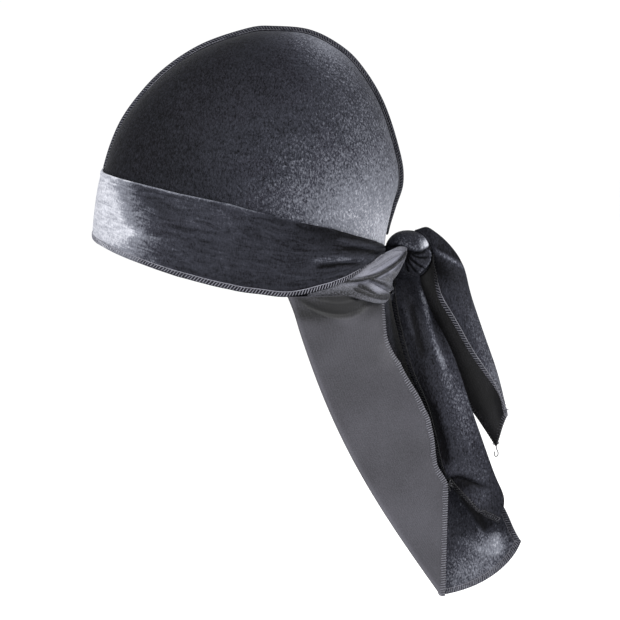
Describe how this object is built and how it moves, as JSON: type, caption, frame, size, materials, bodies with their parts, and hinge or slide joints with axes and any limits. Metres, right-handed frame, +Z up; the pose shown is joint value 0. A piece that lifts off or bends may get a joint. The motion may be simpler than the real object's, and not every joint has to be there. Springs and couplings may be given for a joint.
{
  "type": "durag",
  "caption": "Velvet durag in its worn form: two-panel crown with centre seam, brow band, ties knotted at the nape, hanging tie ends and a folded back flap.",
  "frame": {"origin": "centre of the head opening, on the middle plane and level with the rim's middle height", "axes": "+Z up towards the crown, -Y towards the brow, +X towards the wearer's left"},
  "size_m": [0.161, 0.2839, 0.3737],
  "materials": {
    "velvet_face": "matte",
    "wrong_side": "satin"
  },
  "bodies": {
    "root": {"crown_panel_left": "velvet_face", "crown_panel_right": "velvet_face", "centre_seam": "velvet_face", "brow_band": "velvet_face", "left_tie": "wrong_side", "right_tie": "wrong_side", "knot": "velvet_face", "upper_tail": "velvet_face", "lower_tail": "velvet_face", "back_flap": "wrong_side"}
  },
  "joints": []
}
